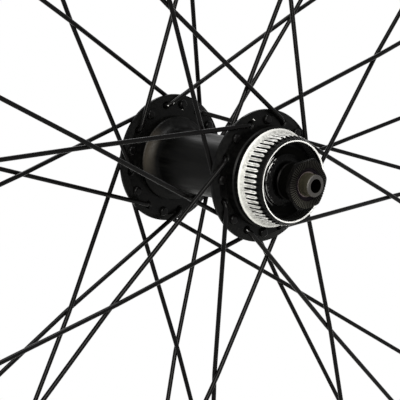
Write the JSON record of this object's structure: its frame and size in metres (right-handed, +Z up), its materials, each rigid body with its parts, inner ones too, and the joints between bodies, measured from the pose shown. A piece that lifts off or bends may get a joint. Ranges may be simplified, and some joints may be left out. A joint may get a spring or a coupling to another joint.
{
  "type": "bicycle wheel",
  "caption": "Front bicycle wheel without tyre: splined disc-brake hub on cup-and-cone bearings, crossed wire spokes with bent heads and a double-walled rim.",
  "frame": {"origin": "centre of the wheel: on the axle's axis, in the rim's middle plane, midway between the two dropout faces", "axes": "+Y along the axle towards the brake-disc side, +Z up through the valve hole, +X forward"},
  "size_m": [0.6329, 0.108, 0.633],
  "materials": {
    "hub_aluminium": "satin black, bare on the brake-disc spline",
    "rim_aluminium": "satin black",
    "spoke_steel": "satin black",
    "nipple_brass": "black plated",
    "axle_steel": "dull plated",
    "nut_steel": "black plated",
    "bearing_steel": "ground",
    "seal_rubber": "matt"
  },
  "bodies": {
    "axle": {"axle": "axle_steel", "left_cone": "bearing_steel", "left_seal": "seal_rubber", "left_spacer": "nut_steel", "left_locknut": "nut_steel", "right_cone": "bearing_steel", "right_seal": "seal_rubber", "right_spacer": "nut_steel", "right_locknut": "nut_steel"},
    "wheel": {"hub_shell": "hub_aluminium", "rim": "rim_aluminium", "nipples": "nipple_brass", "left_bearing_cup": "bearing_steel", "left_dust_cap": "nut_steel", "right_bearing_cup": "bearing_steel", "right_dust_cap": "nut_steel", "spoke_left_outer_1": "spoke_steel", "spoke_left_outer_2": "spoke_steel", "spoke_left_outer_3": "spoke_steel", "spoke_left_outer_4": "spoke_steel", "spoke_left_outer_5": "spoke_steel", "spoke_left_outer_6": "spoke_steel", "spoke_left_outer_7": "spoke_steel", "spoke_left_outer_8": "spoke_steel", "spoke_left_inner_1": "spoke_steel", "spoke_left_inner_2": "spoke_steel", "spoke_left_inner_3": "spoke_steel", "spoke_left_inner_4": "spoke_steel", "spoke_left_inner_5": "spoke_steel", "spoke_left_inner_6": "spoke_steel", "spoke_left_inner_7": "spoke_steel", "spoke_left_inner_8": "spoke_steel", "spoke_right_outer_1": "spoke_steel", "spoke_right_outer_2": "spoke_steel", "spoke_right_outer_3": "spoke_steel", "spoke_right_outer_4": "spoke_steel", "spoke_right_outer_5": "spoke_steel", "spoke_right_outer_6": "spoke_steel", "spoke_right_outer_7": "spoke_steel", "spoke_right_outer_8": "spoke_steel", "spoke_right_inner_1": "spoke_steel", "spoke_right_inner_2": "spoke_steel", "spoke_right_inner_3": "spoke_steel", "spoke_right_inner_4": "spoke_steel", "spoke_right_inner_5": "spoke_steel", "spoke_right_inner_6": "spoke_steel", "spoke_right_inner_7": "spoke_steel", "spoke_right_inner_8": "spoke_steel"},
    "left_ball_set": {"left_balls": "bearing_steel"},
    "right_ball_set": {"right_balls": "bearing_steel"}
  },
  "joints": [
    {"name": "wheel_spin", "type": "hinge", "parent": "axle", "child": "wheel", "pos_m": [0, 0, 0], "axis": [0, 1, 0], "continuous": true},
    {"name": "left_ball_roll", "type": "hinge", "parent": "axle", "child": "left_ball_set", "pos_m": [0, 0.033, 0], "axis": [0, 1, 0], "continuous": true},
    {"name": "right_ball_roll", "type": "hinge", "parent": "axle", "child": "right_ball_set", "pos_m": [0, -0.036, 0], "axis": [0, 1, 0], "continuous": true}
  ],
  "couplings": [
    {"joint": "left_ball_roll", "follows": "wheel_spin", "ratio": 0.6014},
    {"joint": "right_ball_roll", "follows": "wheel_spin", "ratio": 0.6014}
  ]
}
